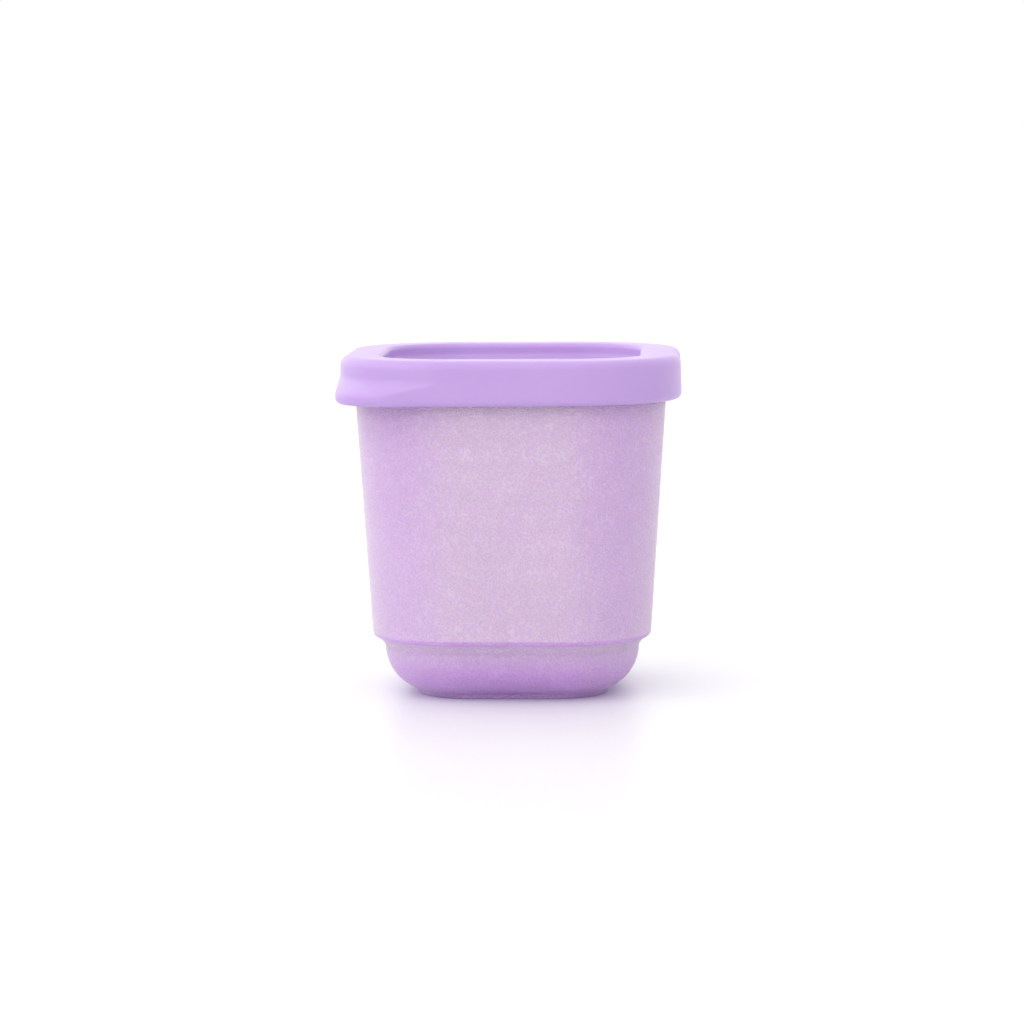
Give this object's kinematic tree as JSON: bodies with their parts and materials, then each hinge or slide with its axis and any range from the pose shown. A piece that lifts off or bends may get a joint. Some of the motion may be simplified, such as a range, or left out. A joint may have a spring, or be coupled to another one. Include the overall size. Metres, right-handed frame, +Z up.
{
  "type": "lidded storage cup",
  "caption": "Small squarish snack cup of frosted plastic with a stacking step near the base and a push-fit lid that has a sunk top and a corner pull tab.",
  "frame": {"origin": "centre of the foot ring, on the plane that the cup stands on", "axes": "+Z up, through the middle of the lid; -X -Y points at the corner with the pull tab"},
  "size_m": [0.066, 0.066, 0.066],
  "materials": {
    "frosted_cup": "fine pebble grain, translucent",
    "soft_lid": "satin, smooth"
  },
  "bodies": {
    "cup": {"cup_body": "frosted_cup"},
    "lid": {"lid": "soft_lid"}
  },
  "joints": [
    {"name": "lid_lift", "type": "slide", "parent": "cup", "child": "lid", "axis": [0, 0, 1], "range_m": [0, 0.06]}
  ]
}
